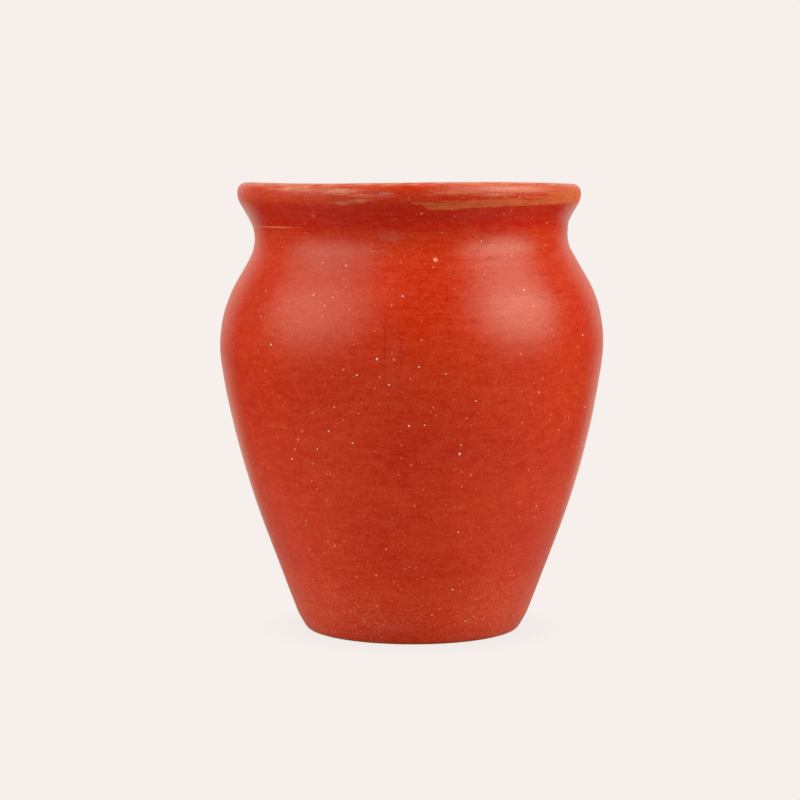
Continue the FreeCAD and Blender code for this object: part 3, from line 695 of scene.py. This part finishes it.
def buildClayMaterial():
    material = bpy.data.materials.new("burnished red slip on terracotta")
    material.use_nodes = True
    tree = material.node_tree
    tree.nodes.clear()
    places = addPlaces(tree)
    colours = {name: hexToLinear(value) for name, value in claySettings.items()
               if isinstance(value, str)}

    # Marks of the wheel and of the burnishing pebble, from broad to fine
    layers = {name: addPattern(tree, places["point"], name)
              for name in ("clouds", "blotches", "streaks", "lines", "grain", "fineScuffs")}
    ragged, scuffed, shade, thin, bareShade = [addNode(tree, "ShaderNodeMapRange", {
        "Value": layers[layer], **fades[name]}) for name, layer in (
            ("ragged", "streaks"), ("scuffed", "fineScuffs"), ("shade", "clouds"),
            ("thin", "streaks"), ("bareShade", "fineScuffs"))]

    # Where the slip is missing
    band = addWornBand(tree, places, ragged, scuffed)
    rubbed = addPatches(tree, places, rubbedPlaces, scuffed)
    scratched = addPatches(tree, places, scratches, 0.0)
    outside = addNode(tree, "ShaderNodeMath", [places["along"], 0.0], operation="LESS_THAN")
    topEdge = addZone(tree, places, "topEdge")
    # On the rim's level land the streaks run round the mouth, so they follow the wall
    parts = addNode(tree, "ShaderNodeSeparateXYZ", [places["point"]])
    onRim = addNode(tree, "ShaderNodeCombineXYZ", [parts.outputs["X"], parts.outputs["Y"],
                    places["along"]])
    rimStreaks = addPattern(tree, onRim, "rimStreaks")
    topWearAndSheen = addNode(tree, "ShaderNodeMapRange", {"Value": rimStreaks, **fades["topWearAndSheen"]})
    topWearAndSheen = addNode(tree, "ShaderNodeMath", [topEdge, topWearAndSheen], operation="MULTIPLY")
    # Painted sheen: a pale veil on the face of the lip at the left. On its top at the right, a
    # pale veil that is partly wear and partly painted sheen
    paintedSheenLeft = addAll(tree, [addZone(tree, places, "leftLip"), addZone(tree, places, "lipFace"),
                             markSettings["paintedSheenLeft"]], "MULTIPLY")
    rightWearAndSheen = addAll(tree, [addZone(tree, places, "rightLip"), addZone(tree, places, "lipTop"),
                              outside, markSettings["rightWearAndSheen"]], "MULTIPLY")
    # Wear at the top of the lip, together with the painted sheen
    topWearAndSheen = addAll(tree, [topWearAndSheen, paintedSheenLeft, rightWearAndSheen], "MAXIMUM")
    slipStops = claySettings["insideSlipMm"]
    slipEnd = addAll(tree, [places["along"], layers["clouds"], ragged], "ADD")
    inside = addNode(tree, "ShaderNodeMapRange", {"Value": slipEnd, "From Min": slipStops,
                     "From Max": slipStops + claySettings["insideSlipEdgeMm"]})
    under = addNode(tree, "ShaderNodeMapRange", {"Value": places["height"], **fades["under"]})
    under = addNode(tree, "ShaderNodeMath", [under, outside], operation="MULTIPLY")
    # The hollow under the base lies nearest to the origin
    fromBase = addNode(tree, "ShaderNodeVectorMath", [places["point"]], operation="LENGTH")
    hollow = addNode(tree, "ShaderNodeMapRange", {"Value": fromBase.outputs["Value"],
                     **fades["hollow"]})
    plain = addAll(tree, [inside, under, hollow], "MAXIMUM")

    # Grit: more of it shows toward the foot, where the slip is thin
    lowDown = addNode(tree, "ShaderNodeMapRange", {"Value": places["height"],
                      **fades["lowDown"]})
    nearest = [addNearestGrain(tree, places, grains)
               for grains in (limeGrains, stainedGrains, [clayPellet])]
    lime, stainedLime, pellet = [addNode(tree, "ShaderNodeMapRange", {
        "Value": each, **fades["grain"]}) for each in nearest]
    # Painted shade in a pit round each of the largest grains of lime, in the crack colour
    pitShade = addNode(tree, "ShaderNodeMapRange", {"Value": nearest[0], **fades["pitShade"]})
    stained, dust, footDust, iron = [addGrains(tree, places, lowDown, name)
                                     for name in grainSettings]
    dust = addNode(tree, "ShaderNodeMath", [dust, markSettings["dustTone"]],
                   operation="MULTIPLY")
    # Pale dust that the foot has rubbed up, with less of it in the middle of the front
    foot = addZone(tree, places, "foot")
    front = addZone(tree, places, "front")
    front = addNode(tree, "ShaderNodeMapRange", {"Value": front, **fades["front"]})
    footDust = addNode(tree, "ShaderNodeMapRange", {"Value": footDust, **fades["footDust"]})
    footDust = addAll(tree, [footDust, foot, front], "MULTIPLY")
    # Pale scuffs, and a painted streak of reflected light down the front of the belly
    scuff = addPatches(tree, places, scuffsAndPaintedStreak, scuffed)

    # Cracks
    wander = addNode(tree, "ShaderNodeTexNoise", {"Vector": places["point"],
                     "Scale": 1 / markSettings["crackBendMm"], "Detail": 2.0})
    wander = addNode(tree, "ShaderNodeMapRange", {"Value": wander, **fades["crackWander"]})
    cracks = [addHairCrack(tree, places, wander, *crack) for crack in hairCracks]
    cracks.append(addWrinkles(tree, places))
    cracks = addAll(tree, cracks, "MAXIMUM")
    crackTone = addNode(tree, "ShaderNodeMath", [cracks, markSettings["crackTone"]],
                        operation="MULTIPLY")

    # Colour, from the slip up to the grit
    # Painted shade: a darker red in the hollow under the lip, which is also glossier there
    underLipShade = addZone(tree, places, "underLip")
    underLipShade = addNode(tree, "ShaderNodeMath", [underLipShade, outside], operation="MULTIPLY")
    colour = addNode(tree, "ShaderNodeMix", {"Factor": shade, "A": colours["slipDeep"],
                     "B": colours["slip"]}, data_type="RGBA")
    colours["bareClay"] = addNode(tree, "ShaderNodeMix", {
        "Factor": bareShade, "A": colours["clay"], "B": colours["clayPale"]}, data_type="RGBA")
    over = [(thin, "slipThin"), (underLipShade, "slipGathered"), (topWearAndSheen, "slipWorn"),
            (band, "bareClay"), (rubbed, "slipWorn"), (scratched, "clayPale"),
            (plain, "clayInside"), (crackTone, "crack"), (iron, "ironGrit"),
            (footDust, "slipWorn"), (dust, "limeStained"), (stained, "limeStained"),
            (stainedLime, "limeStained"), (scuff, "scuff"), (pitShade, "crack"),
            (pellet, "pellet"), (lime, "lime")]
    for factor, name in over:
        colour = addNode(tree, "ShaderNodeMix", {"Factor": factor, "A": colour,
                         "B": colours[name]}, data_type="RGBA")
    mottles = addAll(tree, [addNode(tree, "ShaderNodeMapRange", {
        "Value": layers[name], **fades["mottle"], "To Min": 1 - depth, "To Max": 1 + depth})
        for name, depth in mottleDepths.items()], "MULTIPLY")
    colour = addNode(tree, "ShaderNodeVectorMath", {0: colour, "Scale": mottles},
                     operation="SCALE")
    lightness = addNode(tree, "ShaderNodeMath", [mottles, 1.0], operation="SUBTRACT")
    bloomed = addNode(tree, "ShaderNodeVectorMath", {0: bloom, "Scale": lightness},
                      operation="SCALE")
    colour = addNode(tree, "ShaderNodeVectorMath", [colour, bloomed])

    # Gloss: the pebble leaves the slip satin, and bare clay is dull
    dull = addAll(tree, [band, rubbed, topWearAndSheen, plain, lime, scuff], "MAXIMUM")
    satin = addNode(tree, "ShaderNodeMapRange", {
        "Value": underLipShade, "To Min": claySettings["roughness"],
        "To Max": claySettings["roughnessUnderLip"]})
    roughness = addNode(tree, "ShaderNodeMix", {"Factor": dull, "A": satin,
                        "B": claySettings["roughnessBare"]})

    # Relief, in millimetres
    layers.update(cracks=cracks, band=band)
    relief = 0.0
    for name, amount in reliefMm.items():
        relief = addNode(tree, "ShaderNodeMath", [layers[name], amount, relief],
                         operation="MULTIPLY_ADD")
    normal = addNode(tree, "ShaderNodeBump", {"Height": relief, "Distance": mm, "Strength": 1.0})

    ringwise = addNode(tree, "ShaderNodeTangent", direction_type="RADIAL", axis="Z")
    surface = addNode(tree, "ShaderNodeBsdfPrincipled", {
        "Base Color": colour, "Roughness": roughness, "IOR": claySettings["ior"],
        "Normal": normal, "Anisotropic": claySettings["anisotropy"],
        "Anisotropic Rotation": claySettings["anisotropyTurn"], "Tangent": ringwise})
    addNode(tree, "ShaderNodeOutputMaterial", [surface])
    print("stage 2: the slip is mixed")
    return material


makePot(buildClayMaterial())


# Table, backdrop, light and camera

stageSettings = {
    "background": "#F7EFEC",
    "tableSizeMm": 12000,
    "tableGrey": 0.65,  # a white board under the pot
    "boardMm": 55,
    "floorGrey": 0.3,  # the dark floor round the board
    "floorMm": 240,
    "mirroredInFront": 0.03,  # how bright each part is as the gloss mirrors it
    "mirroredAtSides": 0.36,
    "sidesStart": (-0.95, -0.6),  # the Y of the direction there, -1 being straight in front
    "mirroredFloor": 0.06,
    "mirroredBehind": 0.75,
    "behindStarts": (0.62, 0.97),
    "contactShadow": 0.08,
    "contactReachMm": 14,
}
roomSettings = {
    "fill": 0.685,
    "fillColour": "#FFF6E2",
    "fillLean": (-0.19, 0.47, 0.06),  # the fill is stronger from the left and the back
    "mirroredRoom": 0.03,
    "backdrop": 0.62,
    "backdropHalfAngle": 41,
    "backdropSoftness": 14,
}
cameraSettings = {
    "distanceMm": 680,
    "heightMm": 124,
    "aimHeightMm": 64.2,
    "aimSideMm": -3.3,
    "sensorMm": 36,
    "focalMm": 109.2,
}
lampSettings = {
    "left softbox": {"azimuth": -63, "elevation": 30, "distanceMm": 750, "widthMm": 1200,
                     "heightMm": 1040, "brightness": 2.8},
    "right softbox": {"azimuth": 69, "elevation": 28, "distanceMm": 750, "widthMm": 960,
                      "heightMm": 880, "brightness": 5.45},
}
lampColour = "#EEFFE8"
lampAimMm = 70
lampGlow = (0.05, 0.6)  # from the middle: where its light starts to fall off, and where it ends


def makeCamera():
    settings = cameraSettings
    data = bpy.data.cameras.new("camera")
    data.sensor_width = settings["sensorMm"]
    data.lens = settings["focalMm"]
    camera = bpy.data.objects.new("camera", data)
    bpy.context.scene.collection.objects.link(camera)
    camera.location = Vector((0, -settings["distanceMm"], settings["heightMm"])) * mm
    aim = Vector((settings["aimSideMm"], 0, settings["aimHeightMm"])) * mm
    camera.rotation_euler = (aim - camera.location).to_track_quat("-Z", "Y").to_euler()
    bpy.context.scene.camera = camera


def makeLamps():
    # Each softbox is brightest in the middle and falls off to its edges
    for name, settings in lampSettings.items():
        data = bpy.data.lights.new(name, "AREA")
        data.shape = "RECTANGLE"
        data.size = settings["widthMm"] * mm
        data.size_y = settings["heightMm"] * mm
        data.energy = settings["brightness"] * math.pi * data.size * data.size_y
        data.use_nodes = True
        tree = data.node_tree
        tree.nodes.clear()
        onFace = addNode(tree, "ShaderNodeNewGeometry").outputs["Parametric"]
        offCentre = addNode(tree, "ShaderNodeVectorMath", [onFace, (0.5, 0.5, 0.0)],
                            operation="DISTANCE")
        glow = addNode(tree, "ShaderNodeMapRange", {
            "Value": offCentre.outputs["Value"], "From Min": lampGlow[0],
            "From Max": lampGlow[1], "To Min": 1.0, "To Max": 0.0},
            interpolation_type="SMOOTHSTEP")
        cloth = addNode(tree, "ShaderNodeEmission", {"Color": hexToLinear(lampColour),
                        "Strength": glow})
        addNode(tree, "ShaderNodeOutputLight", [cloth])
        lamp = bpy.data.objects.new(name, data)
        bpy.context.scene.collection.objects.link(lamp)
        side, rise = math.radians(settings["azimuth"]), math.radians(settings["elevation"])
        away = Vector((math.sin(side) * math.cos(rise), -math.cos(side) * math.cos(rise),
                       math.sin(rise)))
        lamp.location = Vector((0, 0, lampAimMm * mm)) + away * settings["distanceMm"] * mm
        lamp.rotation_euler = away.to_track_quat("Z", "Y").to_euler()
        lamp.visible_camera = False


def makeTable():
    # The camera sees it pale, with a painted soft shadow round the pot's foot; in the pot it is
    # reflected dimly
    half = stageSettings["tableSizeMm"] / 2 * mm
    mesh = bpy.data.meshes.new("table")
    mesh.from_pydata([(-half, -half, 0), (half, -half, 0), (half, half, 0), (-half, half, 0)],
                     [], [(0, 1, 2, 3)])
    table = bpy.data.objects.new("table", mesh)
    bpy.context.scene.collection.objects.link(table)
    material = bpy.data.materials.new("matt white laminate")
    material.use_nodes = True
    tree = material.node_tree
    tree.nodes.clear()
    rays = addNode(tree, "ShaderNodeLightPath")
    place = addNode(tree, "ShaderNodeTexCoord").outputs["Object"]
    away = addNode(tree, "ShaderNodeVectorMath", [place], operation="NORMALIZE")
    away = addNode(tree, "ShaderNodeSeparateXYZ", [away])
    reach = addNode(tree, "ShaderNodeVectorMath", [place], operation="LENGTH")
    onFloor = addNode(tree, "ShaderNodeMapRange", {
        "Value": reach.outputs["Value"], "From Min": stageSettings["boardMm"] * mm,
        "From Max": stageSettings["floorMm"] * mm})
    board = addNode(tree, "ShaderNodeMix", {"Factor": onFloor, "A": stageSettings["tableGrey"],
                    "B": stageSettings["floorGrey"]})
    sides, behind = stageSettings["sidesStart"], stageSettings["behindStarts"]
    mirrored = addNode(tree, "ShaderNodeMapRange", {
        "Value": away.outputs["Y"], "From Min": sides[0], "From Max": sides[1],
        "To Min": stageSettings["mirroredInFront"], "To Max": stageSettings["mirroredAtSides"]})
    floor = addNode(tree, "ShaderNodeMapRange", {
        "Value": away.outputs["Y"], "From Min": behind[0], "From Max": behind[1],
        "To Min": stageSettings["mirroredFloor"], "To Max": stageSettings["mirroredBehind"]})
    mirrored = addNode(tree, "ShaderNodeMix", {"Factor": onFloor, "A": mirrored, "B": floor})
    grey = addNode(tree, "ShaderNodeMix", {
        "Factor": rays.outputs["Is Glossy Ray"], "A": board, "B": mirrored})
    lit = addNode(tree, "ShaderNodeBsdfDiffuse", {"Color": grey})
    # Painted shadow: ambient occlusion darkens the pale emission that the camera sees near the pot
    openness = addNode(tree, "ShaderNodeAmbientOcclusion", {
        "Distance": stageSettings["contactReachMm"] * mm}, samples=4)
    strength = addNode(tree, "ShaderNodeMapRange", {
        "Value": openness.outputs["AO"], "To Min": 1 - stageSettings["contactShadow"]})
    plain = addNode(tree, "ShaderNodeEmission", {
        "Color": hexToLinear(stageSettings["background"]), "Strength": strength})
    mixed = addNode(tree, "ShaderNodeMixShader", [rays.outputs["Is Camera Ray"], lit, plain])
    addNode(tree, "ShaderNodeOutputMaterial", [mixed])
    material.cycles.emission_sampling = "NONE"
    mesh.materials.append(material)


def makeWorld():
    # Soft fill from all round. The glossy slip mirrors a darker room with a pale backdrop in it
    world = bpy.data.worlds.new("studio")
    bpy.context.scene.world = world
    world.use_nodes = True
    tree = world.node_tree
    tree.nodes.clear()
    rays = addNode(tree, "ShaderNodeLightPath")
    seen = addNode(tree, "ShaderNodeBackground", {
        "Color": hexToLinear(stageSettings["background"]), "Strength": 1.0})
    direction = addNode(tree, "ShaderNodeTexCoord").outputs["Generated"]
    parts = addNode(tree, "ShaderNodeSeparateXYZ", [direction])
    fill = addNode(tree, "ShaderNodeVectorMath", [direction, roomSettings["fillLean"]],
                   operation="DOT_PRODUCT")
    fill = addNode(tree, "ShaderNodeMath", [fill.outputs["Value"], roomSettings["fill"]])
    edge, soft = roomSettings["backdropHalfAngle"], roomSettings["backdropSoftness"]
    mirrored = addNode(tree, "ShaderNodeMapRange", {
        "Value": parts.outputs["Y"], "From Min": math.cos(math.radians(edge + soft)),
        "From Max": math.cos(math.radians(edge - soft)), "To Min": roomSettings["mirroredRoom"],
        "To Max": roomSettings["backdrop"]}, interpolation_type="SMOOTHSTEP")
    strength = addNode(tree, "ShaderNodeMix", {
        "Factor": rays.outputs["Is Glossy Ray"], "A": fill, "B": mirrored})
    room = addNode(tree, "ShaderNodeBackground", {
        "Color": hexToLinear(roomSettings["fillColour"]), "Strength": strength})
    mixed = addNode(tree, "ShaderNodeMixShader", [rays.outputs["Is Camera Ray"], room, seen])
    addNode(tree, "ShaderNodeOutputWorld", [mixed])


makeCamera()
makeLamps()
makeTable()
makeWorld()
bpy.context.scene.view_settings.view_transform = "Standard"
print("stage 4: the table, lamps and camera are set")
